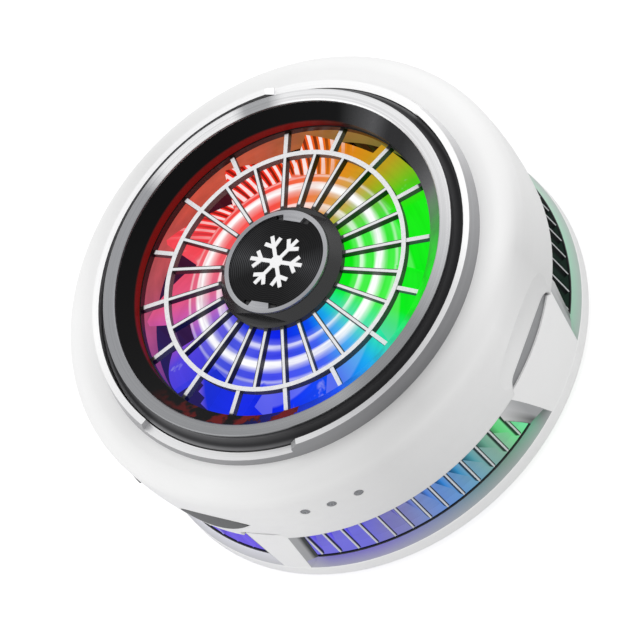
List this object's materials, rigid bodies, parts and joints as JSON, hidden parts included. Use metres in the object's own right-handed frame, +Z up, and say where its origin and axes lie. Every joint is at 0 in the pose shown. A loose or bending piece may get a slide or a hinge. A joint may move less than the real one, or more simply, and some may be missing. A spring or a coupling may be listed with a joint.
{
  "type": "phone cooling fan",
  "caption": "Round magnetic phone cooler: white drum body with a lit blower under a spoked guard, side vents over a finned heatsink and a flat cold face.",
  "frame": {"origin": "middle of the contact face that lies on the phone", "axes": "+Z up the fan axis, out through the guard; -X towards the side with the power socket; -Y towards the indicator lights"},
  "size_m": [0.066, 0.066, 0.029],
  "materials": {
    "white_plastic": "satin white",
    "silver_trim": "satin",
    "collar_silver": "bright satin",
    "black_plastic": "semi-gloss black",
    "guard_white": "white faces with black sides",
    "spun_black": "fine spun black",
    "lit_plastic": "milky translucent, lit from within",
    "fin_aluminium": "bright",
    "plate_aluminium": "brushed",
    "steel": "plain",
    "bronze": "sintered",
    "copper": "enamelled",
    "board_green": "solder mask",
    "chip_black": "matte",
    "ceramic_white": "fired",
    "thermal_film": "soft",
    "foam": "closed cell foam",
    "silicone": "soft matte",
    "magnet": "nickel plated",
    "ferrite": "bonded magnet",
    "nylon": "natural",
    "clear_plastic": "clear",
    "lamp": "cast resin",
    "button_grey": "grey"
  },
  "bodies": {
    "housing": {"top_shell": "white_plastic", "lower_housing": "white_plastic", "collar": "collar_silver", "bezel": "black_plastic", "trim_ring": "silver_trim", "guard": "guard_white", "hub_cap": "black_plastic", "hub_ring": "silver_trim", "hub_disc": "spun_black", "hub_emblem": "silver_trim", "air_duct": "lit_plastic", "clamp_screws": "steel", "heatsink_base": "plate_aluminium", "heatsink_fins": "fin_aluminium", "air_baffle": "black_plastic", "motor_base": "black_plastic", "motor_screws": "steel", "bearing_bush": "bronze", "stator_core": "steel", "stator_coils": "copper", "light_board": "board_green", "light_leds": "lamp", "hall_sensor": "chip_black", "hot_film": "thermal_film", "hot_ceramic": "ceramic_white", "module_pellets": "steel", "cold_ceramic": "ceramic_white", "cold_film": "thermal_film", "foam_gasket": "foam", "cold_plate": "plate_aluminium", "back_cover": "white_plastic", "holding_magnets": "magnet", "magnet_backing": "steel", "contact_pad": "silicone", "base_screws": "steel", "main_board": "board_green", "control_chips": "chip_black", "socket_shell": "steel", "socket_tongue": "chip_black", "switch_body": "chip_black", "status_leds": "lamp", "light_pipes": "clear_plastic"},
    "rotor": {"impeller": "lit_plastic", "rotor_yoke": "steel", "rotor_magnet": "ferrite", "shaft": "steel", "retaining_washer": "nylon"},
    "button": {"power_button": "button_grey", "switch_plunger": "nylon"}
  },
  "joints": [
    {"name": "fan_spin", "type": "hinge", "parent": "housing", "child": "rotor", "pos_m": [0, 0, 0.015], "axis": [0, 0, 1], "continuous": true},
    {"name": "power_button_press", "type": "slide", "parent": "housing", "child": "button", "axis": [0.9026, 0.4305, 0], "range_m": [0, 0.0004], "stiffness_N_per_m": 800, "springref_m": -0.0005}
  ]
}
